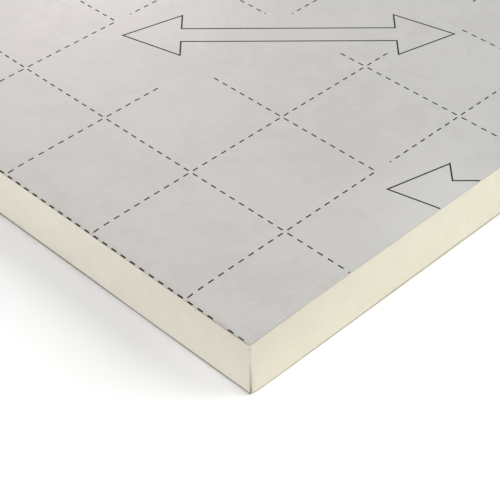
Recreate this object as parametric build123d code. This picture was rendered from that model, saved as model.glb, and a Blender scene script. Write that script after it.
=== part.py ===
from build123d import *
import os

# Foil-faced polyiso insulation board, square-edged and lying flat.
# A rigid foam core is bonded between two thin foil facings, and all three are trimmed flush.
# The origin is the middle of the underside: +X runs along the length, +Y across the width, +Z up.
# Sizes are in millimetres.

# Driving dimensions
board_length = 2400.0
board_width = 1200.0
board_thickness = 50.0
facing_thickness = 0.3  # one foil and paper laminate
corner_radius = 1.5  # the eased upright corners

# The core fills the room that the two facings leave
core_thickness = board_thickness - 2 * facing_thickness


def board_layer(underside_height, thickness):
    """A full-size layer of the board, its four upright corners eased like its neighbours'."""
    sheet = Box(board_length, board_width, thickness, align=(Align.CENTER, Align.CENTER, Align.MIN))
    eased_sheet = fillet(sheet.edges().filter_by(Axis.Z), corner_radius)
    return Pos(0, 0, underside_height) * eased_sheet


def bottom_foil_facing():
    """The facing that the board rests on."""
    return board_layer(0, facing_thickness)


def foam_core():
    """The sawn foam slab, which shows its cut faces all the way round."""
    return board_layer(facing_thickness, core_thickness)


def top_foil_facing():
    """The printed facing, seated on the core."""
    return board_layer(facing_thickness + core_thickness, facing_thickness)


os.makedirs("parts", exist_ok=True)
for make_piece in (bottom_foil_facing, foam_core, top_foil_facing):
    export_step(make_piece(), f"parts/{make_piece.__name__}.step")
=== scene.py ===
# %% [markdown]
# A foil-faced insulation board, dressed for the camera
#
# The real thing is a slab of pale yellow foam, 50 mm thick, between two thin facings of foil
# and paper, the top one printed with a dashed grid of 100 mm squares for cutting to size. The
# imported solids give every size used here. This lesson sets up the camera and the light, gives
# each layer a finished surface, adds the ink, and ends with the finishes, the dirt and the
# painted shade and sheen.

# %% Load the imported board
import math

import bpy
import numpy as np
from mathutils import Matrix, Vector


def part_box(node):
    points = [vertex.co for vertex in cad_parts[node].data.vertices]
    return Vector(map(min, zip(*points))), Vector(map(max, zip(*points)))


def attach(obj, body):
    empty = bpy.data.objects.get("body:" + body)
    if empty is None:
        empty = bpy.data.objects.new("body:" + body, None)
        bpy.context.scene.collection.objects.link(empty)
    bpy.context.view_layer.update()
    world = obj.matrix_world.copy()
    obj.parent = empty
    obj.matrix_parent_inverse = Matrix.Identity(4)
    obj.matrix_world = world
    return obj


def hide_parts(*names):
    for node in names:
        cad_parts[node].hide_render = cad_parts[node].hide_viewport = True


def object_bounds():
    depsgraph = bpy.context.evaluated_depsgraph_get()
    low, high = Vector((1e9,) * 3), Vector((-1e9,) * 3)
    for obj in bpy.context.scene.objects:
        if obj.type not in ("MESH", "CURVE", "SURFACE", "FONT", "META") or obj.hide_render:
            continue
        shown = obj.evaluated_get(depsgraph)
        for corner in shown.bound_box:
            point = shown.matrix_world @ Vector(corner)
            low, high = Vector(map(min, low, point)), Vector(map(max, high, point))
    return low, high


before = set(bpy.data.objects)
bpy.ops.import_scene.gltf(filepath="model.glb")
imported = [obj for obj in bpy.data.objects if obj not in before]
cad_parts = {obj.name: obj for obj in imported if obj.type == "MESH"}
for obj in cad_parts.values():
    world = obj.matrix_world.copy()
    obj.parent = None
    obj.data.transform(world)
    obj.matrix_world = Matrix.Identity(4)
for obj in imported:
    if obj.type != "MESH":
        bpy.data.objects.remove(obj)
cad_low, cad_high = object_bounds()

MM = 0.001
board_top = cad_high.z
print("layers:", sorted(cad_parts), "box in metres:", tuple(cad_low), tuple(cad_high))

# %% [markdown]
# The camera comes first, because it decides how much of each surface has to be good. The
# photograph looks down on one corner of the board with a long lens, so the edges hardly
# converge. Three angles could turn it, but it is clearer to name the point that it looks at,
# to let Blender work out the turn, and to add a small roll.

# %% Place the camera
camera_place = Vector((1.72126, -1.11848, 0.77183))
camera_target = Vector((1.1312, -0.53187, board_top))
camera_roll = math.radians(-0.335)
lens_length_mm = 110.46
sensor_width_mm = 36.0
farthest_seen = 100.0


def configured(thing, settings):
    """Gives a thing these settings, by their names in Blender, and returns it."""
    for name, value in settings.items():
        setattr(thing, name, value)
    return thing


def add_object(name, data, **settings):
    """Puts this data into the scene, as an object at the origin, with these settings."""
    thing = bpy.data.objects.new(name, configured(data, settings))
    bpy.context.scene.collection.objects.link(thing)
    return thing


camera_data = bpy.data.cameras.new("corner_camera")
lens = {"lens": lens_length_mm, "sensor_width": sensor_width_mm, "clip_end": farthest_seen}
camera = add_object("corner_camera", camera_data, **lens)
looking = (camera_target - camera_place).to_track_quat("-Z", "Y").to_matrix().to_4x4()
camera.matrix_world = Matrix.Translation(camera_place) @ looking @ Matrix.Rotation(camera_roll, 4, "Z")
bpy.context.scene.camera = camera
bpy.context.scene.view_settings.view_transform = "Standard"
print("camera is", round((camera_target - camera_place).length, 3), "m from the board")

# %% [markdown]
# Every finish below is a graph of shader nodes. A few small helpers keep the graphs readable:
# they add a node, fill its inputs and hand back what comes out. They hold no look of their own.

# %% Helpers for node graphs
mix_sockets = {"FLOAT": (2, 3, 0), "VECTOR": (4, 5, 1), "RGBA": (6, 7, 2)}


def feed(tree, node, inputs):
    """Fills a node's inputs, given by name or number, with values or other nodes' outputs."""
    for key, value in inputs.items():
        if isinstance(value, bpy.types.NodeSocket):
            tree.links.new(value, node.inputs[key])
        else:
            node.inputs[key].default_value = value


def add_node(tree, kind, inputs=None, output=0, **settings):
    """Adds a shader node and returns its output of this name or number, if it has any."""
    node = configured(tree.nodes.new("ShaderNode" + kind), settings)
    feed(tree, node, inputs or {})
    return node.outputs[output] if node.outputs else None


def calculate(tree, operation, first, second):
    """The result of one sum, product or test of numbers or sockets."""
    return add_node(tree, "Math", {0: first, 1: second}, operation=operation)


def map_range(tree, value, given, wanted=(0.0, 1.0), easing="SMOOTHSTEP"):
    """The value, carried from the given range to the wanted one. Both are pairs."""
    names = ("Value", "From Min", "From Max", "To Min", "To Max")
    inputs = dict(zip(names, (value, *given, *wanted)))
    return add_node(tree, "MapRange", inputs, "Result", interpolation_type=easing)


def mix(tree, kind, share, off, on):
    """Goes from off to on with the share. Each kind of value has its own numbered sockets."""
    low, high, result = mix_sockets[kind]
    return add_node(tree, "Mix", {0: share, low: off, high: on}, result, data_type=kind)


def mix_shaders(tree, share, off, on):
    """Goes from one shader to the other with the share."""
    return add_node(tree, "MixShader", {0: share, 1: off, 2: on})


def ray_kinds(tree):
    """The kinds of ray by name, and a mask of the rays from shiny and clear things."""
    rays = tree.nodes.new("ShaderNodeLightPath").outputs
    return rays, calculate(tree, "MAXIMUM", rays["Is Glossy Ray"], rays["Is Transmission Ray"])


# %% [markdown]
# The studio is a white floor under big soft lamps. The photograph's shadow falls to the left
# and fades over about the board's own thickness, so the main lamp is wide and stands to the
# right. A cooler lamp low on the left keeps the shaded side pale. Sun lamps light all of a
# 2.4 m board alike, where area lamps would fade from one end to the other. Neither shows in
# the foil, because the sky gives the foil everything that it mirrors.

# %% Hang the lamps
def hang_lamp(name, kind, **settings):
    """A lamp that isn't mirrored in the foil."""
    lamp = add_object(name, bpy.data.lights.new(name, kind), **settings)
    lamp.visible_glossy = False
    print(name, "hung:", settings)
    return lamp


def shining_from(x, y, z):
    """The turn of a sun lamp that shines from this direction."""
    return Vector((x, y, z)).to_track_quat("Z", "Y").to_euler()


soft_key = hang_lamp("soft_key", "SUN", energy=2.25, angle=math.radians(52.0), color=(1.0, 0.985, 0.96))
soft_key.rotation_euler = shining_from(0.48, 0.675, 0.56)
low_fill = hang_lamp("low_fill", "SUN", energy=1.36, angle=math.radians(50.0), color=(0.895, 0.862, 1.0))
low_fill.rotation_euler = shining_from(-0.25, -0.93, 0.27)

# %% [markdown]
# Close to the photographed corner the shadow is thinner than two far lamps can make it. A
# small spot, straight above the corner, lifts it. Because it shines straight down, the upright
# sides of the board hardly notice it.

# %% Lift the shadow at the corner
pool_place = Vector((1.222, -0.585, 1.0))
pool_reach = 0.135
pool_watts = 4.6
pool_lamp_radius = 0.02

pool_angle = 2.0 * math.atan(pool_reach / pool_place.z)
softness = {"spot_blend": 1.0, "shadow_soft_size": pool_lamp_radius}
pool = hang_lamp("corner_pool", "SPOT", energy=pool_watts, spot_size=pool_angle, **softness)
pool.location = pool_place
pool.visible_camera = False

# %% [markdown]
# The sky does two jobs. Matt surfaces take an even fill from it. Foil is a dull mirror, and a
# plain grey sky would make it look painted. So shiny rays see a pale sky with one brighter
# window in it, which gives the foil its slow change from light to grey. Its left half is a
# touch warmer low down, as a wall would be. Camera rays see plain white.

# %% Build the sky
fill_strength = 0.55
sky_grey = 0.808
sky_bright = 1.47
window_middle = Vector((-0.7342, 0.5611, 0.3822)).normalized()
window_edge = math.cos(math.radians(10.0))
window_core = math.cos(math.radians(5.2))
picture_left = Vector((-0.708, -0.706, 0.0))
wall_border = (-0.05, 0.03)
wall_tint = (1.045, 0.995, 1.010)
wall_top = (0.585, 0.635)
wall_share_above = 0.35
white = (1.0, 1.0, 1.0, 1.0)

world = bpy.data.worlds.new("studio")
world.use_nodes = True
bpy.context.scene.world = world
sky = world.node_tree
sky.nodes.clear()
direction = add_node(sky, "TexCoord", output="Generated")


def agreement(heading):
    """How far a ray's direction agrees with this heading: 1 along it, 0 square to it."""
    inputs = {0: direction, 1: heading}
    return add_node(sky, "VectorMath", inputs, "Value", operation="DOT_PRODUCT")


glow = map_range(sky, agreement(window_middle), (window_edge, window_core), (sky_grey, sky_bright))
on_left = map_range(sky, agreement(picture_left), wall_border)
upness = add_node(sky, "SeparateXYZ", {0: direction}, "Z")
wall_seen = calculate(sky, "MULTIPLY", on_left, map_range(sky, upness, wall_top, (1.0, wall_share_above)))
tint = mix(sky, "VECTOR", wall_seen, white[:3], wall_tint)
tinted = add_node(sky, "VectorMath", {"Vector": tint, "Scale": glow}, operation="SCALE")
mirrored = add_node(sky, "Background", {"Color": tinted})
fill = add_node(sky, "Background", {"Color": white, "Strength": fill_strength})
plain_white = add_node(sky, "Background", {"Color": white, "Strength": 1.0})
rays, shiny_ray = ray_kinds(sky)
unseen = mix_shaders(sky, shiny_ray, fill, mirrored)
seen = mix_shaders(sky, rays["Is Camera Ray"], unseen, plain_white)
add_node(sky, "OutputWorld", {"Surface": seen})
print("sky strength for matt surfaces:", fill_strength, "for foil:", sky_grey, "to", sky_bright)

# %% [markdown]
# The floor is a matt white sheet. Lit white paint comes out a little grey, so it also glows
# faintly, but only for rays from the camera or from shiny things: the board gets no light from
# it, and its shadow still shows. From below the sheet is clear, and the bottom foil mirrors the
# sky through it, so that the underside can be looked at too.

# %% Lay the floor
floor_reach = 20.0
floor_drop = 0.02 * MM
floor_white = (0.930, 0.937, 0.927)
floor_glow = 0.08
underside_gap = 5.0 * MM

floor_mesh = bpy.data.meshes.new("floor")
floor_signs = ((-1, -1), (1, -1), (1, 1), (-1, 1))
floor_corners = [(a * floor_reach, b * floor_reach, -floor_drop) for a, b in floor_signs]
floor_mesh.from_pydata(floor_corners, [], [(0, 1, 2, 3)])
floor = add_object("floor", floor_mesh)

floor_material = bpy.data.materials.new("floor_white")
floor_material.use_nodes = True
ground = floor_material.node_tree
ground.nodes.clear()
rays, shiny_ray = ray_kinds(ground)
matt = add_node(ground, "BsdfDiffuse", {"Color": (*floor_white, 1.0)})
seen_ray = calculate(ground, "MAXIMUM", rays["Is Camera Ray"], shiny_ray)
glow_strength = calculate(ground, "MULTIPLY", seen_ray, floor_glow)
glow = add_node(ground, "Emission", {"Strength": glow_strength})
lit_floor = add_node(ground, "AddShader", {0: matt, 1: glow})
from_close_by = calculate(ground, "LESS_THAN", rays["Ray Length"], underside_gap)
mirrored_below = calculate(ground, "MULTIPLY", rays["Is Glossy Ray"], from_close_by)
backfacing = add_node(ground, "NewGeometry", output="Backfacing")
see_through = calculate(ground, "MAXIMUM", backfacing, mirrored_below)
clear = add_node(ground, "BsdfTransparent")
one_sided = mix_shaders(ground, see_through, lit_floor, clear)
add_node(ground, "OutputMaterial", {"Surface": one_sided})
floor.data.materials.append(floor_material)
print("floor:", 2 * floor_reach, "m square")

# %% [markdown]
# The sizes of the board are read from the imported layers, never typed in again. The facings
# are thinner than a fingernail.

# %% Read the sizes
top_low, top_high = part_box("top_foil_facing")
half_length = top_high.x
half_width = top_high.y
facing_thickness = top_high.z - top_low.z
print("board:", round(2000 * half_length), "x", round(2000 * half_width), "x", round(1000 * board_top), "mm")
print("facing:", round(facing_thickness / MM, 2), "mm")

# %% [markdown]
# A factory saw never runs quite true. Each cut side wanders by a tenth of a millimetre or so,
# which stops the long edges from looking ruled. A random jitter would look torn, so the wander
# is a sum of smooth waves with seeded phases. The same waves, in two directions, make the skin
# of the foil very slightly uneven.

# %% Waves for the saw line and the skin
def wave_sum(travel, lengths, phases, heights):
    """A wavy value, from -1 to 1. Formula: cosines of the distance travelled, added by height."""
    waves = np.cos(2.0 * math.pi * travel / lengths + phases)
    return (waves * heights).sum(-1) / heights.sum()


def saw_line(along, seed, longest=0.40, shortest=0.03, count=9):
    """A wavy line along a side. Formula: lengths evenly spread in ratio, heights by their root."""
    rng = np.random.default_rng(seed)
    lengths = np.geomspace(longest, shortest, count)
    phases = rng.uniform(0.0, 2.0 * math.pi, count)
    return wave_sum(np.asarray(along)[..., None], lengths, phases, np.sqrt(lengths))


def skin_waves(x, y, seed, longest=0.55, shortest=0.11, count=14):
    """A gently uneven sheet. Formula: waves in seeded headings, as high as they are long."""
    rng = np.random.default_rng(seed)
    headings = rng.uniform(0.0, math.pi, count)
    phases = rng.uniform(0.0, 2.0 * math.pi, count)
    lengths = np.geomspace(longest, shortest, count)
    travel = np.asarray(x)[..., None] * np.cos(headings) + np.asarray(y)[..., None] * np.sin(headings)
    return wave_sum(travel, lengths, phases, lengths)


sample = saw_line(np.linspace(-half_length, half_length, 500), seed=1)
print("saw line runs from", round(sample.min(), 2), "to", round(sample.max(), 2))

# %% [markdown]
# The photographed corner is a little worn. Near it the long top edge has one rubbed place the
# length of a fingertip, where the foil is pushed in and a dash of the print is lost, and the
# last few millimetres have lost their print too. Sculpted wear would fit one layer only, so it
# is a function of the distance along the edge, which every layer and the ink can share. The
# short side leans: its top lies a millimetre further in.

# %% Wear at the photographed corner
crush_place = half_length - 30.3 * MM
crush_reach = 4.6 * MM
crush_depth = 0.42 * MM
crush_ink_loss = 1.7 * MM
ragged_stretch = (half_length - 52.0 * MM, half_length - 44.0 * MM)
ragged_depth = 0.34 * MM
ragged_lengths = (11.0 * MM, 3.0 * MM)
corner_ink_stretch = (half_length - 6.5 * MM, half_length - 3.5 * MM)
corner_ink_loss = 2.2 * MM
thinned_ink_stretch = (half_length - 13.0 * MM, half_length - 10.5 * MM)
thinned_ink_loss = 0.26 * MM
heel_reach = 6.0 * MM
heel_depth = 0.55 * MM
right_lean = 1.0 * MM


def smooth_step(value, low, high):
    """0 below low, 1 above high, with a smooth climb between. Formula: 3t^2 - 2t^3."""
    t = np.clip((value - low) / (high - low), 0.0, 1.0)
    return t * t * (3.0 - 2.0 * t)


def bell(distance, reach, power=2):
    """1 at no distance, fading beyond the reach. Formula: the exponential of minus the distance
    over the reach, to a power. Power 1 is a plain decay, and 4 has a flat top."""
    return np.exp(-((np.abs(distance) / reach) ** power))


def crushed(x):
    """1 in the rubbed place on the long front edge and 0 away from it: a flat-topped bell."""
    return bell(x - crush_place, crush_reach, 4)


def front_edge_wear(x):
    """How far the top of the front edge is worn back: the rubbed place and a ragged wave."""
    waves = 0.5 + 0.5 * saw_line(x, 21, *ragged_lengths)
    return crush_depth * crushed(x) + ragged_depth * waves * smooth_step(x, *ragged_stretch)


def front_ink_loss(x):
    """How much wider than the wear the print is lost."""
    at_corner = corner_ink_loss * smooth_step(x, *corner_ink_stretch)
    thinned = thinned_ink_loss * smooth_step(x, *thinned_ink_stretch)
    return crush_ink_loss * crushed(x) + at_corner + thinned


def right_heel_wear(y):
    """How far the foot of the right edge is rubbed back at the corner."""
    return heel_depth * bell(y + half_width, heel_reach)


print("front edge wear at the crush:", round(float(front_edge_wear(crush_place)) / MM, 2), "mm")

# %% [markdown]
# All three layers share one outline, so one function makes it, from any point of a plain
# rectangle: it rounds the upright corners and moves each side in to its saw line. A bevel could
# round the corners, but the map of a square to a disc, applied to each corner's small square,
# keeps the points evenly spread.

# %% The shared outline
trim_allowance = 0.14 * MM
trim_wander = 0.12 * MM
side_reach = 9.0 * MM


def side_trims(x, y):
    """How far inside the full size the saw cut each side: right, left, back and front."""
    runs = ((y, 2), (y, 4), (x, 3), (x, 1))
    return [trim_allowance + trim_wander * saw_line(along, seed) for along, seed in runs]


def cut_outline(x, y, corner_radius, front_wear=0.0, right_wear=0.0):
    """Moves points of the full rectangle onto the cut board. Formula: inside each corner's
    square, (a, b) becomes (a * sqrt(1 - b^2/2), b * sqrt(1 - a^2/2)). Then each side moves
    its neighbours inwards by its trim, which fades to nothing over side_reach."""
    a = np.clip((np.abs(x) - (half_length - corner_radius)) / corner_radius, 0.0, 1.0)
    b = np.clip((np.abs(y) - (half_width - corner_radius)) / corner_radius, 0.0, 1.0)
    x = x + np.sign(x) * corner_radius * a * (np.sqrt(1.0 - b * b / 2.0) - 1.0)
    y = y + np.sign(y) * corner_radius * b * (np.sqrt(1.0 - a * a / 2.0) - 1.0)
    right, left = (smooth_step(side * x, half_length - side_reach, half_length) for side in (1, -1))
    back, front = (smooth_step(side * y, half_width - side_reach, half_width) for side in (1, -1))
    right_trim, left_trim, back_trim, front_trim = side_trims(x, y)
    new_x = x - right * (right_trim + right_wear) + left * left_trim
    new_y = y - back * back_trim + front * (front_trim + front_wear)
    return new_x, new_y


def rim_distance(x, y):
    """Distance from a point of the board to the nearest nominal side."""
    return np.minimum(half_length - np.abs(x), half_width - np.abs(y))


print("trims at the middle:", [round(float(trim) / MM, 2) for trim in side_trims(0.0, 0.0)], "mm")

# %% [markdown]
# The facings are sheets on a grid. Its lines are close together at the rim, where the foil
# bends over the foam, and at the worn corner. An even grid that fine would have millions of
# faces, so in the middle the spacing is wide.

# %% Grid lines for a sheet
rim_lines = np.array([0.0, 0.35, 0.8, 1.3, 2.0, 2.9, 4.2, 6.2, 9.0]) * MM
worn_stretch = 60.0 * MM
worn_step = 1.5 * MM
middle_step = 8.0 * MM


def sheet_lines(half_size, worn_end):
    """Grid lines from -half_size to +half_size. worn_end is -1 or 1: that end gets fine lines."""
    worn = np.arange(rim_lines[-1] + worn_step, worn_stretch, worn_step)
    span = 2.0 * half_size - worn_stretch - rim_lines[-1]
    middle = worn_stretch + np.linspace(0.0, span, int(span / middle_step) + 1)[:-1]
    lines = np.concatenate([rim_lines, worn, middle, 2.0 * half_size - rim_lines[::-1]]) - half_size
    return lines if worn_end < 0 else -lines[::-1]


lines_x = sheet_lines(half_length, worn_end=1)
lines_y = sheet_lines(half_width, worn_end=-1)
print("sheet grid:", len(lines_x), "by", len(lines_y), "lines")

# %% [markdown]
# From above, a facing is almost flat. It dips by a twentieth of a millimetre here and there,
# rolls down at the cut rim, and droops towards the long sides, where foam rises less: in the
# photograph the printed line next to the long edge is lower than a flat grid would put it. The
# ink lies on the skin, so the height is one function that foil and ink both call.

# %% Height of the skin
ink_rise = 0.035 * MM
skin_sag = 0.06 * MM
lip_drop = 0.34 * MM
lip_reach = 2.4 * MM
fold_drop = 0.30 * MM
fold_reach = 1.6 * MM
slow_droop = 0.90 * MM
slow_reach = 60.0 * MM
quick_droop = 1.00 * MM
quick_reach = 9.0 * MM
side_lift = 0.30 * MM
side_lift_reach = 1.8 * MM
front_lift = 0.62 * MM
front_lift_reach = 3.0 * MM
corner_lift = 0.45 * MM
corner_lift_reach = 30.0 * MM


def skin_height(x, y):
    """Height of the top foil. Formula: the board's top, less room for the ink, a shallow wavy
    sag, a lip that decays from the rim, a droop of two decays from the long side, and the fold
    at the rubbed place."""
    sag = skin_sag * (0.5 + 0.5 * skin_waves(x, y, seed=11))
    lip = lip_drop * bell(rim_distance(x, y), lip_reach, 1)
    from_long_side = half_width - np.abs(y)
    slow = slow_droop * bell(from_long_side, slow_reach, 1)
    quick = quick_droop * bell(from_long_side, quick_reach, 1)
    fold = fold_drop * crushed(x) * bell(y + half_width, crush_depth + fold_reach, 3)
    return board_top - ink_rise - sag - lip - (slow + quick) - fold


def sole_height(x, y):
    """Height of the bottom foil's lower skin. Formula: on the floor, but lifted by a decay from
    the rim, and by more at the long front edge, most of all near the worn corner."""
    lift = side_lift * bell(rim_distance(x, y), side_lift_reach, 1)
    front = front_lift + corner_lift * bell(half_length - x, corner_lift_reach)
    return lift + front * bell(y + half_width, front_lift_reach, 1)


print("top skin at the middle:", round(float(skin_height(0.0, 0.0)) / MM, 2), "mm up")

# %% [markdown]
# Each facing is a closed shell: the fine skin that shows, a wall as high as the sheet is thick,
# and one plain face against the foam. A Solidify modifier could thicken a sheet, but would make
# the hidden face as fine as the skin. The wall gets its own material, the paper's brown edge.

# %% Build a mesh from arrays
def grid_faces(rows, columns):
    """Quads of a grid of rows by columns points, as an array of four indices each."""
    index = np.arange(rows * columns).reshape(rows, columns)
    corners = [index[:-1, :-1], index[:-1, 1:], index[1:, 1:], index[1:, :-1]]
    return np.stack([corner.ravel() for corner in corners], axis=1)


def border_of(rows, columns):
    """Indices of a grid's border points, once round, starting at row 0, column 0."""
    index = np.arange(rows * columns).reshape(rows, columns)
    return np.concatenate([index[0, :-1], index[:-1, -1], index[-1, :0:-1], index[:0:-1, 0]])


def mesh_piece(name, points, quads, smooth, rings=(), flat_material=0):
    """A mesh object from arrays of points and quads, and a few larger faces, the rings. Faces
    that aren't smooth use the flat material."""
    mesh = bpy.data.meshes.new(name)
    mesh.from_pydata(points.astype(np.float64), [], quads.tolist() + [ring.tolist() for ring in rings])
    shading = np.concatenate([smooth, np.zeros(len(rings), bool)])
    mesh.polygons.foreach_set("use_smooth", shading)
    mesh.polygons.foreach_set("material_index", np.where(shading, 0, flat_material).astype(np.int32))
    mesh.update()
    mesh.validate()
    print(name, len(points), "points,", len(quads), "quads")
    return add_object(name, mesh)


# %% [markdown]
# At the photographed corner the foam is still sharp from the saw, but the foil is rubbed blunt,
# so a speck of pale foam shows past it. A shared radius would hide that, so each layer has its
# own there. Everywhere else the layers keep the eased corner of the solids.

# %% Facings as closed shells
eased_radius = 1.5 * MM
blunt_radius = 3.2 * MM
sharp_radius = 0.5 * MM


def corner_radii(x, y, worn_radius):
    """The eased radius at every corner, but worn_radius in the photographed one."""
    return np.where((x > 0) & (y < 0), worn_radius, eased_radius)


def top_outline(x, y):
    """The top facing's outline, with the worn front edge and the blunt corner."""
    radii = corner_radii(x, y, blunt_radius)
    return cut_outline(x, y, radii, front_wear=front_edge_wear(x), right_wear=right_lean)


def bottom_outline(x, y):
    """The bottom facing's outline, with the rubbed foot of the right edge."""
    return cut_outline(x, y, corner_radii(x, y, sharp_radius), right_wear=right_heel_wear(y))


def facing_shell(name, outline, skin, thickness):
    """A closed sheet. outline(x, y) places the grid's points, skin(x, y) gives their height,
    and the hidden face lies thickness above the skin, or below it if that is negative."""
    x, y = np.meshgrid(lines_x, lines_y)
    shown = np.stack([*outline(x, y), skin(x, y)], axis=-1).reshape(-1, 3)
    rim = border_of(*x.shape)
    ring = len(shown) + np.arange(len(rim))
    wall = np.stack([rim, ring, np.roll(ring, -1), np.roll(rim, -1)], axis=1)
    skin_quads = grid_faces(*x.shape)
    quads = np.concatenate([skin_quads, wall])
    if thickness > 0:
        quads = quads[:, ::-1]
    else:
        ring = ring[::-1]
    points = np.concatenate([shown, shown[rim] + np.array([0.0, 0.0, thickness])])
    smooth = np.arange(len(quads)) < len(skin_quads)
    return mesh_piece(name, points, quads, smooth, [ring], flat_material=1)


top_facing = facing_shell("printed_facing", top_outline, skin_height, -facing_thickness)
bottom_facing = facing_shell("plain_facing", bottom_outline, sole_height, facing_thickness)
for piece, node in ((top_facing, "top_foil_facing"), (bottom_facing, "bottom_foil_facing")):
    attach(piece, "root")
    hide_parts(node)

# %% [markdown]
# The foam shows only its four sawn sides. They are one surface with two parameters: how far
# round the board, and how far up. Rows crowd together next to the facings, where the foam is
# cut back a hair. Bump alone would leave the outline ruled, so a fine unevenness is pressed in,
# always inwards, and the foam never grows past the foil.

# %% Sawn sides of the foam
row_steps = np.array([0.0, 0.4, 1.0, 2.0, 3.6, 6.0, 9.0, 12.5, 16.5, 20.5]) * MM
hair_recess = 0.12 * MM
hair_reach = 0.5 * MM
pit_depth = 0.16 * MM
broad_pit = (22.0 * MM, 14.0 * MM)
broad_share = 0.6
small_pit = (4.0 * MM, 3.0 * MM)
bruise_height = 2.4 * MM
cap_inset = 6.0 * MM
cap_sink = 0.12 * MM


def lattice_noise(u, v, seed, size=256):
    """Smooth random bumps from 0 to 1. Formula: random values on a square lattice that
    repeats every `size` cells, blended between the four nearest with a smooth step."""
    table = np.random.default_rng(seed).random((size, size))
    cell_u, cell_v = np.floor(u).astype(int), np.floor(v).astype(int)
    blend_u = smooth_step(u - cell_u, 0.0, 1.0)
    blend_v = smooth_step(v - cell_v, 0.0, 1.0)

    def along_u(row):
        values = table[cell_u % size, row % size], table[(cell_u + 1) % size, row % size]
        return values[0] * (1 - blend_u) + values[1] * blend_u

    return along_u(cell_v) * (1 - blend_v) + along_u(cell_v + 1) * blend_v


def outward_direction(x, y):
    """Unit vectors straight out of the rim. Formula: from the nearest point of a rectangle that
    is smaller by the eased radius, which fans them out at the corners."""
    out_x = x - np.clip(x, -half_length + eased_radius, half_length - eased_radius)
    out_y = y - np.clip(y, -half_width + eased_radius, half_width - eased_radius)
    size = np.hypot(out_x, out_y)
    return out_x / size, out_y / size


def foam_block():
    """Points of the foam's sides, row by row from the bottom up. The first and last rows are
    smaller rings on the hidden top and bottom, sunk out of the facings' way."""
    x, y = np.meshgrid(lines_x, lines_y)
    rim = border_of(*x.shape)
    rim_x, rim_y = x.ravel()[rim], y.ravel()[rim]
    rim_top = skin_height(rim_x, rim_y) - facing_thickness
    rim_bottom = sole_height(rim_x, rim_y) + facing_thickness
    up = (np.concatenate([row_steps, board_top - row_steps[::-1]]) / board_top)[:, None]
    height = rim_bottom + (rim_top - rim_bottom) * up
    from_top, from_bottom = rim_top - height, height - rim_bottom
    flat_x, flat_y = cut_outline(
        np.broadcast_to(rim_x, height.shape),
        np.broadcast_to(rim_y, height.shape),
        corner_radii(rim_x, rim_y, sharp_radius),
        front_wear=front_edge_wear(rim_x) * bell(from_top, bruise_height, 1),
        right_wear=right_heel_wear(rim_y) * bell(from_bottom, bruise_height, 1) + right_lean * up,
    )
    step = np.hypot(np.diff(rim_x, append=rim_x[0]), np.diff(rim_y, append=rim_y[0]))
    around = np.broadcast_to(np.cumsum(step) - step, height.shape)
    pits = broad_share * lattice_noise(around / broad_pit[0], height / broad_pit[1], seed=31)
    pits = pits + (1 - broad_share) * lattice_noise(around / small_pit[0], height / small_pit[1], seed=32)
    hair = bell(from_top, hair_reach, 1) + bell(from_bottom, hair_reach, 1)
    out_x, out_y = outward_direction(flat_x, flat_y)
    inwards = hair_recess * hair + pit_depth * pits
    sides = np.stack([flat_x - inwards * out_x, flat_y - inwards * out_y, height], axis=-1)
    shrink = np.array([1.0 - cap_inset / half_length, 1.0 - cap_inset / half_width, 1.0])
    bottom_cap, top_cap = sides[:1] * shrink, sides[-1:] * shrink
    bottom_cap[..., 2] = facing_thickness + cap_sink
    top_cap[..., 2] = skin_height(top_cap[..., 0], top_cap[..., 1]) - facing_thickness - cap_sink
    return np.concatenate([bottom_cap, sides, top_cap])


# %% Close the foam block
foam_rows = foam_block()
row_count, column_count = foam_rows.shape[:2]
wrapped_row, wrapped_column = np.divmod(grid_faces(row_count, column_count + 1), column_count + 1)
foam_quads = wrapped_row * column_count + wrapped_column % column_count
is_side = (wrapped_row[:, 0] > 0) & (wrapped_row[:, 2] < row_count - 1)
bottom_ring = np.arange(column_count)[::-1]
top_ring = np.arange(column_count) + (row_count - 1) * column_count
foam = mesh_piece("foam_slab", foam_rows.reshape(-1, 3), foam_quads, is_side, [bottom_ring, top_ring])
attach(foam, "root")
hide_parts("foam_core")

# %% [markdown]
# The print is ink with a real, if tiny, thickness. A shader could paint it, but the dashes are
# 1.3 mm wide on a board 2.4 m long, so a baked picture of them would blur. Every dash or stroke
# is the same thing: a bar between two side lines. Its stations follow the skin, and each side
# line is cut by itself where the board ends, so the print stops just short of the sawn edge.

# %% A bar of ink
ink_sink = 0.06 * MM
shown_rise = 0.9 * ink_rise
edge_clearance = 0.05 * MM
end_margin = 0.7 * MM


def board_limits(x, y):
    """Where the print has to stop near these points: the lowest and the highest (x, y)."""
    right, left, back, front = side_trims(x, y)
    low_x = left - half_length + end_margin
    low_y = front - half_width + front_edge_wear(x) + front_ink_loss(x) + edge_clearance
    high_x = half_length - right - right_lean - end_margin
    high_y = half_width - back - edge_clearance
    return np.stack([low_x, low_y], axis=-1), np.stack([high_x, high_y], axis=-1)


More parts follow.
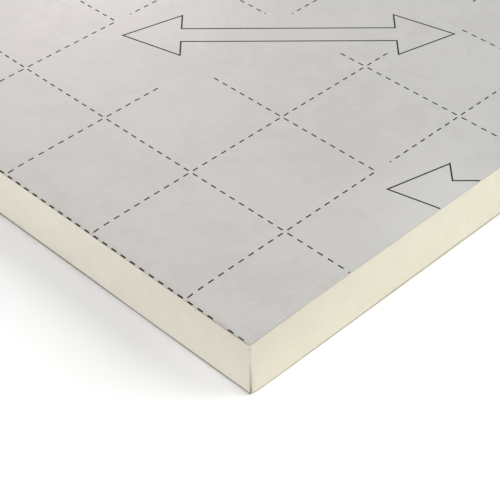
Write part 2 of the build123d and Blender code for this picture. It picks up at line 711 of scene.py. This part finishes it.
def ink_bars(name, left_lines, right_lines, stations):
    """One mesh of many closed bars. left_lines and right_lines, as seen along the bar, are
    arrays of bars by two ends by (x, y). Formula: each station blends the two ends, and its
    four corners sit under and over the skin, on both lines."""
    share = np.linspace(0.0, 1.0, stations)[None, :, None]
    lines = (line[:, None, 0] * (1 - share) + line[:, None, 1] * share for line in (left_lines, right_lines))
    flat = np.stack(list(lines), axis=2)
    skin = skin_height(flat[..., 0], flat[..., 1])[..., None]
    low = np.concatenate([flat, skin - ink_sink], axis=-1)
    high = np.concatenate([flat, skin + shown_rise], axis=-1)
    corners = np.stack([low[:, :, 0], low[:, :, 1], high[:, :, 1], high[:, :, 0]], axis=2)
    start_cap = (np.arange(len(corners)) * stations * 4)[:, None] + np.arange(4)
    here = start_cap[:, None] + (np.arange(stations - 1) * 4)[:, None]
    beside = np.roll(here, -1, axis=-1)
    walls = np.stack([here, here + 4, beside + 4, beside], axis=-1).reshape(-1, 4)
    quads = np.concatenate([walls, start_cap, start_cap[:, ::-1] + (stations - 1) * 4])
    return mesh_piece(name, corners.reshape(-1, 3), quads, np.zeros(len(quads), bool))


# %% [markdown]
# The grid has 100 mm squares, ten dashes to a side, and its crossings fall in the gaps. One
# line runs along the front edge, where its ink has spread a little over the bend. Round each
# big printed mark the grid stops, in a clear field that leans along the diagonal. Dashes could
# be left out whole there, but the press cuts them, and so does this.

# %% Dashes of the grid
grid_cell = 100.0 * MM
dash_pitch = 10.0 * MM
dash_length = 5.2 * MM
dash_width = 1.26 * MM
grid_start = np.array([half_length - 2.6527 * grid_cell, 0.70 * MM - half_width])
mark_pitch = 3 * grid_cell
mark_shifts = [np.array([column * mark_pitch, row * grid_cell]) for row in (0, 6) for column in range(-8, 2)]
field_start = 0.69
field_lower = ([0.69, 1.13, 2.60, 3.84], [1.40, 1.125, 1.625, 1.625])
field_upper = ([0.69, 2.40, 3.10, 3.84], [2.235, 2.235, 2.70, 2.45])
field_far_end = ([1.90, 2.45], [3.67, 3.84])
edge_spread = 0.17 * MM
dash_samples = dash_length * np.linspace(-0.5, 0.5, 27)
smallest_dash = (0.35 * MM, 0.25 * MM)
board = np.array([half_length, half_width])
rows, steps_along_rows = (0, 13), (-220, 40)
columns, steps_along_columns = (-22, 4), (0, 121)


def in_clear_field(points):
    """True where the big marks need the ground bare. Formula: in cells along and across the
    diagonal, between four border lines, of which three bend."""
    bare = np.zeros(points.shape[:-1], bool)
    for shift in mark_shifts:
        i, j = np.moveaxis((points - grid_start - shift) / grid_cell, -1, 0)
        along, across = (i + j) / math.sqrt(2.0), (j - i) / math.sqrt(2.0)
        between_ends = (along > field_start) & (along < np.interp(across, *field_far_end))
        lower, upper = np.interp(along, *field_lower), np.interp(along, *field_upper)
        bare |= between_ends & (across > lower) & (across < upper)
    return bare


def dash_sides(axis, grid_lines, steps):
    """The left and right side lines of the dashes along X, axis 0, or Y, axis 1. Points here are
    (along, across), and turned makes them (x, y) or back. Formula: from the first to the last
    sample that no clear field takes, as wide as a dash, kept between the board's limits."""
    turned = (..., slice(None, None, -1 if axis else 1))
    along = grid_start[axis] + dash_pitch * (np.arange(*steps) + 0.5)
    across = grid_start[1 - axis] + grid_cell * np.arange(*grid_lines)
    centres = np.stack(np.meshgrid(along, across), axis=-1).reshape(-1, 2)
    samples = centres[:, None] + np.stack([dash_samples, 0.0 * dash_samples], axis=1)
    bare = in_clear_field(samples[turned])
    near_end = np.where(bare, dash_length, dash_samples).min(axis=1)
    far_end = np.where(bare, -dash_length, dash_samples).max(axis=1)
    on_edge_row = (axis == 0) & (centres[:, 1] < grid_start[1] + dash_pitch / 2)
    upper_side = dash_width / 2 + np.where(on_edge_row, edge_spread, 0.0)
    lowest, highest = board_limits(*np.clip(centres[turned], -board, board).T)
    low = centres + np.stack([near_end, np.full(len(centres), -dash_width / 2)], axis=1)
    low = np.maximum(low, lowest[turned])
    high = np.minimum(centres + np.stack([far_end, upper_side], axis=1), highest[turned])
    kept = (high - low > smallest_dash).all(axis=1)
    (near, lower), (far, upper) = low[kept].T, high[kept].T
    ends = [[(near, side), (far, side)] for side in (lower, upper)]
    sides = [np.moveaxis(np.array(pair), -1, 0)[turned] for pair in ends]
    print("dashes:", int(kept.sum()), "of", len(centres), "along", "XY"[axis])
    return sides if axis else sides[::-1]


dashes = dash_sides(0, rows, steps_along_rows), dash_sides(1, columns, steps_along_columns)
left_hand, right_hand = (np.concatenate(pair) for pair in zip(*dashes))
printed_grid = ink_bars("printed_grid", left_hand, right_hand, stations=5)
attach(printed_grid, "root")

# %% [markdown]
# Where the real sheet has its big outlined marks, this one has a plain outlined arrow with two
# heads, of the same size, line and lean. A curve with a bevel could draw it, but its corners
# would bulge. So it is one closed outline with mitred corners: the side lines meet on the line
# that halves the angle. The arrows repeat every 300 mm and run off the board's ends.

# %% Outlined arrows
arrow_half_length = 1.42 * grid_cell
arrow_head_length = 0.50 * grid_cell
arrow_head_half = 0.31 * grid_cell
arrow_shaft_half = 0.10 * grid_cell
arrow_middle = grid_start + np.array([0.21, 2.9]) * grid_cell
arrow_line = 1.4 * MM
arrow_stations = 12
shortest_share = 0.02
tiny = 1e-9


def arrow_outline():
    """Corners of a double-headed arrow along its own axis, once round, counter-clockwise."""
    neck = arrow_half_length - arrow_head_length
    head = [(neck, -arrow_head_half), (arrow_half_length, 0.0), (neck, arrow_head_half)]
    half = np.array([(neck, -arrow_shaft_half), *head, (neck, arrow_shaft_half)])
    return np.concatenate([half, -half])


def mitred_sides(corners, line_width):
    """The two side lines of a closed outline, as arrays of strokes by two ends by (x, y).
    Formula: a corner's offset is the sum of its two normals over one plus their product."""
    ahead = np.roll(corners, -1, axis=0) - corners
    ahead = ahead / np.linalg.norm(ahead, axis=1, keepdims=True)
    normal = np.stack([-ahead[:, 1], ahead[:, 0]], axis=1)
    previous = np.roll(normal, 1, axis=0)
    offset = (normal + previous) / (1.0 + (normal * previous).sum(1, keepdims=True)) * line_width / 2
    sides = (corners + offset, corners - offset)
    return [np.stack([side, np.roll(side, -1, axis=0)], axis=1) for side in sides]


def clip_lines(lines):
    """Shortens each side line to the part that lies on the board, and says what share is left.
    Formula: what lies between the last entry and the first exit over the four sides."""
    start, end = lines[:, 0], lines[:, 1]
    run = end - start
    run = np.where(np.abs(run) < tiny, tiny, run)
    middle_y = np.clip((start + end)[:, 1] / 2, -half_width, half_width)
    low, high = board_limits(np.full(len(lines), half_length), middle_y)
    to_low, to_high = (low - start) / run, (high - start) / run
    entry = np.maximum(np.minimum(to_low, to_high).max(axis=1), 0.0)[:, None]
    leave = np.minimum(np.maximum(to_low, to_high).min(axis=1), 1.0)[:, None]
    return np.stack([start + run * entry, start + run * leave], axis=1), (leave - entry)[:, 0]


def placed_arrows():
    """Side lines of every arrow on the sheet, turned to the diagonal and set in their places."""
    turn = np.array([[1.0, -1.0], [1.0, 1.0]]) / math.sqrt(2.0)
    sides = mitred_sides(arrow_outline(), arrow_line)
    return [np.concatenate([side @ turn.T + arrow_middle + shift for shift in mark_shifts]) for side in sides]


(arrow_inner, inner_left), (arrow_outer, outer_left) = (clip_lines(lines) for lines in placed_arrows())
on_board = (inner_left > shortest_share) & (outer_left > shortest_share)
printed_arrows = ink_bars("printed_arrows", arrow_inner[on_board], arrow_outer[on_board], arrow_stations)
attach(printed_arrows, "root")
print("arrow strokes:", int(on_board.sum()))

# %% [markdown]
# Two effects are used by more than one finish, so each is a node group. Mottle gives a soft
# cloudy mask: the dull and bright patches of foil, and the uneven colour of foam. Grain gives
# a fine height for bumps. Both read Object coordinates in metres, so their sizes are real.

# %% Shared node groups
def new_group(name, inputs, output):
    """A node group without an inside. Returns its tree, its inputs and Object coordinates."""
    tree = bpy.data.node_groups.new(name, "ShaderNodeTree")
    for socket in inputs:
        kind = "NodeSocketVector" if socket == "Stretch" else "NodeSocketFloat"
        tree.interface.new_socket(socket, in_out="INPUT", socket_type=kind)
    tree.interface.new_socket(output, in_out="OUTPUT", socket_type="NodeSocketFloat")
    place = add_node(tree, "TexCoord", output="Object")
    return tree, tree.nodes.new("NodeGroupInput").outputs, place


def end_group(tree, result):
    """Hands the result out of the group."""
    tree.links.new(result, tree.nodes.new("NodeGroupOutput").inputs[0])
    return tree


def mottle_group():
    """Soft patches. Inputs: patches in a metre, where the noise becomes 0 and 1, its stretch,
    how many finer octaves it has and how strong they are."""
    names = ("Patches", "Low", "High", "Stretch", "Octaves", "Crispness")
    tree, given, place = new_group("mottle", names, "Mask")
    vector = add_node(tree, "VectorMath", {0: place, 1: given["Stretch"]}, operation="MULTIPLY")
    names = ("Scale", "Detail", "Roughness")
    inputs = dict(zip(names, (given["Patches"], given["Octaves"], given["Crispness"])))
    noise = add_node(tree, "TexNoise", {"Vector": vector, **inputs}, "Fac")
    return end_group(tree, map_range(tree, noise, (given["Low"], given["High"])))


def grain_group():
    """Fine cells. Inputs: cells in a metre, and the share of the softer noise in the height."""
    tree, given, place = new_group("grain", ("Cells", "Softness"), "Height")
    inputs = {"Vector": place, "Scale": given["Cells"]}
    cells = add_node(tree, "TexVoronoi", inputs, "Distance", feature="F1")
    noise = add_node(tree, "TexNoise", {**inputs, "Detail": 2.0, "Roughness": 0.5}, "Fac")
    return end_group(tree, mix(tree, "FLOAT", given["Softness"], cells, noise))


groups = {"mottle": mottle_group(), "grain": grain_group()}


def place_group(tree, name, *values):
    """A node of this group with its values in order. Returns its output."""
    return add_node(tree, "Group", dict(enumerate(values)), node_tree=groups[name])


def mottle(tree, patches, low, high, stretch=(1.0, 1.0, 1.0), octaves=3.0, crispness=0.55):
    """The mask of a mottle group."""
    return place_group(tree, "mottle", patches, low, high, stretch, octaves, crispness)


def mix_colors(tree, mask, off, on):
    """A colour that goes from off to on with the mask. Either may be a socket."""
    off, on = (color if isinstance(color, bpy.types.NodeSocket) else (*color, 1.0) for color in (off, on))
    return mix(tree, "RGBA", mask, off, on)


def from_mask(tree, mask, low, high):
    """The mask, from 0 to 1, mapped evenly to the range from low to high."""
    return map_range(tree, mask, (0.0, 1.0), (low, high), "LINEAR")


def stored(tree, name):
    """The mask that is stored on the piece's points under this name."""
    return add_node(tree, "Attribute", output="Fac", attribute_name=name)


def add_bump(tree, height, distance, strength, **under):
    """A bump from this height. Normal is that of the bump under it, if any."""
    inputs = {"Height": height, "Distance": distance, "Strength": strength, **under}
    return add_node(tree, "Bump", inputs)


def new_finish(name, finish):
    """A material. finish(tree) gives the inputs of its Principled shader by name."""
    material = bpy.data.materials.new(name)
    material.use_nodes = True
    tree = material.node_tree
    feed(tree, tree.nodes["Principled BSDF"], finish(tree))
    print("finish:", name, "with", len(tree.nodes), "nodes")
    return material


# %% [markdown]
# Foil facing is aluminium with a satin lacquer. It isn't a mirror: it blurs what it reflects,
# more in some patches than in others, and faint streaks run the way the web was rolled. One
# place near the short end has a painted sheen: a brighter patch painted into its colour. The
# foam cells under it press a slight orange peel into it. A picture of foil would stretch or
# repeat, so its patches, streaks and dents are noise.

# %% Foil
foil_bright = (0.730, 0.721, 0.687)
foil_dull = (0.688, 0.679, 0.647)
# Next: dirt with painted shade at the foil's rim, and a painted sheen.
foil_dirt_and_shade = (0.37, 0.345, 0.22)
foil_sheen_color = (0.835, 0.828, 0.802)
foil_rough_low = 0.21
foil_rough_high = 0.25
streak_strength = 0.14


def foil_finish(tree):
    """Satin foil: dull patches, streaks, orange peel, a painted sheen, rim dirt and painted shade."""
    patches = mottle(tree, patches=11.0, low=0.42, high=0.58, octaves=6.0, crispness=0.84)
    streaks = mottle(tree, patches=70.0, low=0.30, high=0.80, stretch=(0.04, 1.0, 1.0))
    dents = mottle(tree, patches=16.0, low=0.40, high=0.95)
    color = mix_colors(tree, patches, foil_bright, foil_dull)
    color = mix_colors(tree, from_mask(tree, streaks, 0.0, streak_strength), color, foil_dull)
    # A painted sheen: one brighter place mixed into the colour.
    color = mix_colors(tree, stored(tree, "painted_sheen"), color, foil_sheen_color)
    peel = add_bump(tree, place_group(tree, "grain", 260.0, 0.8), distance=0.02 * MM, strength=0.25)
    return {
        "Metallic": 1.0,
        # Dirt with painted shade at the rim, from the stored mask.
        "Base Color": mix_colors(tree, stored(tree, "dirt_and_painted_shade"), color, foil_dirt_and_shade),
        "Roughness": from_mask(tree, patches, foil_rough_low, foil_rough_high),
        "Normal": add_bump(tree, dents, distance=0.06 * MM, strength=0.3, Normal=peel),
    }


satin_foil = new_finish("satin_foil", foil_finish)

# %% [markdown]
# A cut facing shows a thread of brown-grey paper, mostly a dark line at this size. A flat
# colour would look drawn, so it gets fibre-sized spots, and no shine.

# %% Paper edge
paper_dark = (0.40, 0.36, 0.29)
paper_light = (0.58, 0.54, 0.46)
# The darkest paper colour is dirt and painted shade, mostly the painted contact shadow at the foot.
paper_dirt_and_shade = (0.086, 0.066, 0.040)


def paper_finish(tree):
    """The cut edge of a facing: matt paper, light and dark fibres, stored dirt and painted shade."""
    fibres = mottle(tree, patches=420.0, low=0.40, high=0.78)
    clean = mix_colors(tree, fibres, paper_dark, paper_light)
    return {
        "Roughness": 0.8,
        # Dirt and painted shade from the stored mask.
        "Base Color": mix_colors(tree, stored(tree, "dirt_and_painted_shade"), clean, paper_dirt_and_shade),
        "Normal": add_bump(tree, fibres, distance=0.05 * MM, strength=0.4),
    }


paper_edge = new_finish("paper_edge", paper_finish)

# %% [markdown]
# Rigid foam has closed cells less than a millimetre across. Sawn open, they make a dry matt
# face, pale cream with slightly darker clouds and faint upright chatter marks. Cells as small
# as that are bump, because as mesh they would cost millions of faces.

# %% Foam
foam_cream = (0.758, 0.733, 0.608)
foam_warm = (0.732, 0.706, 0.583)
foam_shade = (0.640, 0.612, 0.492)
speck_strength = 0.75
# Next: a tint darker towards the corner, partly painted shade, and the colour of painted shade.
tint_and_shade_color = (0.335, 0.255, 0.229)
painted_shade_color = (0.118, 0.094, 0.058)


def foam_finish(tree):
    """Sawn foam: cream clouds, dark specks, open cells, saw chatter, a stored tint and painted shade."""
    clouds = mottle(tree, patches=26.0, low=0.43, high=0.57, octaves=7.0, crispness=1.0)
    specks = mottle(tree, patches=1500.0, low=0.52, high=0.75)
    chatter = mottle(tree, patches=240.0, low=0.3, high=0.8, stretch=(1.0, 1.0, 0.06))
    color = mix_colors(tree, clouds, foam_cream, foam_warm)
    color = mix_colors(tree, from_mask(tree, specks, 0.0, speck_strength), color, foam_shade)
    # A tint towards the corner, with painted shade, from a stored mask.
    color = mix_colors(tree, stored(tree, "tint_and_painted_shade"), color, tint_and_shade_color)
    cells = add_bump(tree, place_group(tree, "grain", 1300.0, 0.4), distance=0.12 * MM, strength=0.5)
    return {
        "Roughness": 0.92,
        "Specular IOR Level": 0.25,
        # Painted shade from the stored mask.
        "Base Color": mix_colors(tree, stored(tree, "dirt_and_painted_shade"), color, painted_shade_color),
        "Normal": add_bump(tree, chatter, distance=0.08 * MM, strength=0.35, Normal=cells),
    }


sawn_foam = new_finish("sawn_foam", foam_finish)

# %% [markdown]
# The ink is a thin black. On foil it never looks fully black, because the lacquer over it
# shines, and it is a little uneven where the plate lost pressure, so its colour varies.

# %% Ink
ink_full = (0.019, 0.0165, 0.0135)
ink_thin = (0.044, 0.040, 0.035)


def ink_finish(tree):
    """Printed ink: near black, with thinner patches and a soft shine."""
    thin = mottle(tree, patches=160.0, low=0.42, high=0.80)
    return {
        "Specular IOR Level": 0.25,
        "Base Color": mix_colors(tree, thin, ink_full, ink_thin),
        "Roughness": from_mask(tree, thin, 0.45, 0.55),
    }


printed_ink = new_finish("printed_ink", ink_finish)

# %% [markdown]
# Dirt and painted shade follow the shape. Noise in a shader can't know where an edge is, so
# both are worked out on the points and stored as one attribute, that foam, paper and foil all
# read. Painted shade lies on the upright corners, as a painted contact shadow along the foot of
# two sides, and as a painted shadow under the foil near the worn corner. Dirt with painted shade
# darkens the top of the cut edge there, and a dull band lies on the foil before the front edge.

# %% Which side, how worn
side_border = (-0.2 * MM, 0.5 * MM)
chip_reach = 2.2 * MM
chip_share = 0.85
worn_edge = (half_length - 50.0 * MM, half_length - 45.0 * MM)


def side_shares(x, y):
    """The shares of the long front side and of the short right side. Formula: a smooth step of
    how much nearer the point is to that side than to any other."""
    front, back = y + half_width, half_width - y
    right, left = half_length - right_lean / 2 - x, half_length + x
    on_front = smooth_step(np.minimum.reduce([back, right, left]) - front, *side_border)
    on_right = smooth_step(np.minimum.reduce([back, front, left]) - right, *side_border)
    return on_front, on_right


def from_corner(x, y):
    """Distance, seen from above, to the photographed corner."""
    return np.hypot(half_length - x, half_width + y)


def unchipped(x, y, z):
    """1, but less at the tip of the top corner, where the chipped foil lets pale foam show and no painted
    shade lies.
    """
    from_tip = from_corner(x + right_lean, y)
    return 1.0 - chip_share * np.where(z > 0.9 * board_top, bell(from_tip, chip_reach), 0.0)


def worn_share(x):
    """Rises from 0 far along the front edge to about 1 near the worn corner, in patches."""
    patchy = 0.72 + 0.28 * saw_line(x, seed=23, longest=0.020, shortest=0.004)
    return smooth_step(x, *worn_edge) * patchy


print("worn share of the front edge at 20 mm:", round(float(worn_share(half_length - 20.0 * MM)), 2))

# %% Painted shade on the foam
arris_reach = 0.95 * MM
arris_foot = (4.0 * MM, 10.0 * MM)
arris_heights = np.array([0.0, 5.0, 10.0, 20.0, 27.0, 33.0, 42.0, 44.5, 50.0]) * MM
arris_shares = np.array([0.95, 0.95, 0.60, 0.36, 0.18, 0.02, 0.0, 0.40, 0.20])
smear_reach = 3.2 * MM
smear_share = 0.10
smear_heights = (16.0 * MM, 36.0 * MM)
foot_reach = 0.60 * MM
foot_tip_reach = 6.0 * MM
right_foot_stretch = (20.0 * MM, 90.0 * MM)
wide_foot_stretch = (130.0 * MM, 170.0 * MM)
under_foil_reach = 0.75 * MM
under_foil_stretch = 60.0 * MM


def foam_painted_shade(x, y, z):
    """Painted shade on the foam, from 0 to 1: the largest of a dark line with a broader painted
    shadow on each upright corner, a painted contact shadow along the foot of the two sides and a
    painted shadow under the foil."""
    on_front, on_right = side_shares(x, y)
    away = from_corner(x, y)
    edge_x = half_length - trim_allowance - np.where(x > 0, right_lean * z / board_top, 0.0)
    from_arris = np.hypot(edge_x - np.abs(x), half_width - trim_allowance - np.abs(y))
    widened = 1.0 + 0.25 * (1.0 - smooth_step(z, *arris_foot))
    arris = bell(from_arris, arris_reach * widened) * np.interp(z, arris_heights, arris_shares)
    arris = arris + smear_share * bell(from_arris, smear_reach) * (1.0 - smooth_step(z, *smear_heights))
    foot = 0.95 * (1.0 - 0.5 * bell(away, foot_tip_reach)) * on_front
    foot = foot + 0.16 * (1.0 + smooth_step(away, *right_foot_stretch)) * on_right
    from_foot = np.maximum(z - sole_height(x, y) - facing_thickness, 0.0)
    foot = foot * bell(from_foot, foot_reach * (1.0 + 0.9 * smooth_step(away, *wide_foot_stretch)))
    under_foil = on_front * (0.20 + 0.68 * worn_share(x))
    under_foil = under_foil + on_right * (0.10 + 0.35 * bell(away, under_foil_stretch, 1))
    from_foil = np.maximum(skin_height(x, y) - facing_thickness - z, 0.0)
    under_foil = under_foil * bell(from_foil, under_foil_reach)
    return np.minimum(np.maximum.reduce([arris, foot, under_foil]), 1.0) * unchipped(x, y, z)


def store_mask(piece, name, mask):
    """Stores mask(x, y, z) on the piece's points as the attribute of this name."""
    points = np.empty(len(piece.data.vertices) * 3)
    piece.data.vertices.foreach_get("co", points)
    values = mask(*points.reshape(-1, 3).T)
    attribute = piece.data.attributes.new(name, "FLOAT", "POINT")
    attribute.data.foreach_set("value", values.astype(np.float32))
    print(piece.name, name, "from", round(float(values.min()), 2), "to", round(float(values.max()), 2))


# The foam's part of the shared mask is painted shade.
store_mask(foam, "dirt_and_painted_shade", foam_painted_shade)

# %% Dirt and painted shade on the facings
rim_dirt_and_shade_reach = 0.5 * MM
rolled_reach = 2.4 * MM
right_sole_stretch = (15.0 * MM, 80.0 * MM)
right_rim_stretch = (42.0 * MM, 60.0 * MM)


def edge_dirt_and_shade(x, y, z):
    """Dirt and painted shade on the facings: a painted contact shadow on the whole cut edge at the
    foot of the front side, dirt with painted shade on its top near the worn corner, and a dull
    band where the top foil rolls down to the front edge."""
    on_front, on_right = side_shares(x, y)
    from_front = y + half_width
    lean = np.where(z > board_top / 2, right_lean, 0.0)
    from_rim = np.minimum(rim_distance(x, y), half_length - lean - x)
    from_rim = np.maximum(from_rim - trim_allowance, 0.0)
    at_rim = bell(from_rim, rim_dirt_and_shade_reach)
    foot = (0.9 * on_front + 0.25 * (1.0 + smooth_step(from_front, *right_sole_stretch)) * on_right) * at_rim
    near_corner = 1.0 - smooth_step(from_front, *right_rim_stretch)
    top = on_front * (0.22 + 0.62 * worn_share(x)) + on_right * 0.30 * near_corner
    rolled = (0.19 + 0.20 * crushed(x)) * on_front * bell(from_rim, rolled_reach)
    return np.where(z < board_top / 2, foot, np.maximum(top * at_rim, rolled) * unchipped(x, y, z))


store_mask(top_facing, "dirt_and_painted_shade", edge_dirt_and_shade)
store_mask(bottom_facing, "dirt_and_painted_shade", edge_dirt_and_shade)

# %% [markdown]
# Two more masks belong to one layer each. One darkens the foam towards the photographed corner
# and adds painted shade up the sides and at the front's foot, and the other marks a painted
# sheen on the top foil.

# %% Corner tint, painted shade and painted sheen
# A tint towards the corner, painted shade up the sides, and painted shade at the front's foot.
corner_tint_reach = 128.0 * MM
corner_tint_share = 0.21
upward_shade_share = 0.025
foot_shade_reach = 22.0 * MM
foot_shade_share = 0.12
# Where the painted sheen lies on the top foil.
sheen_middle = -half_width + 200.0 * MM
sheen_length = 62.0 * MM
sheen_depth = 55.0 * MM
sheen_lean = 0.4
sheen_share = 0.62


def foam_tint_and_painted_shade(x, y, z):
    """A faint tint, darker towards the photographed corner and up the right side. On the other
    sides it grows up the side, with painted shade as well, and near the corner it fills the foot
    of the front with painted shade, which offsets the corner lamp's light."""
    on_right = side_shares(x, y)[1]
    near = corner_tint_share * bell(from_corner(x, y), corner_tint_reach)
    foot_shade = foot_shade_share * bell(from_corner(x, y), foot_shade_reach)
    up = z / board_top
    other_sides = (upward_shade_share + 1.2 * near) * up + foot_shade * (1.0 - up)
    return on_right * near * (0.65 + 0.55 * up) + (1.0 - on_right) * other_sides


def foil_painted_sheen(x, y, z):
    """The painted sheen, a brighter place on the top foil. Formula: a bell of the distance from the
    short end, which leans, times a flat-topped bell along that end."""
    from_end = np.maximum(half_length - x + sheen_lean * (sheen_middle - y), 0.0)
    return sheen_share * bell(y - sheen_middle, sheen_length, 4) * bell(from_end, sheen_depth)


store_mask(foam, "tint_and_painted_shade", foam_tint_and_painted_shade)
store_mask(top_facing, "painted_sheen", foil_painted_sheen)

# %% [markdown]
# Each piece now gets its finishes, in the order of its faces' numbers. The table also names
# the slot under which the board could be given another finish, but nothing uses that name.

# %% Put the finishes on
for piece, materials, slot in (
    (top_facing, (satin_foil, paper_edge), "printed_foil"),
    (bottom_facing, (satin_foil, paper_edge), "plain_foil"),
    (foam, (sawn_foam,), "foam"),
    (printed_grid, (printed_ink,), "printed_foil"),
    (printed_arrows, (printed_ink,), "printed_foil"),
):
    for material in materials:
        piece.data.materials.append(material)

# %% [markdown]
# Last, the box of the imported board is printed. The finish never makes the board bigger.

# %% Print the imported box
print("packed board:", tuple(cad_low), tuple(cad_high))
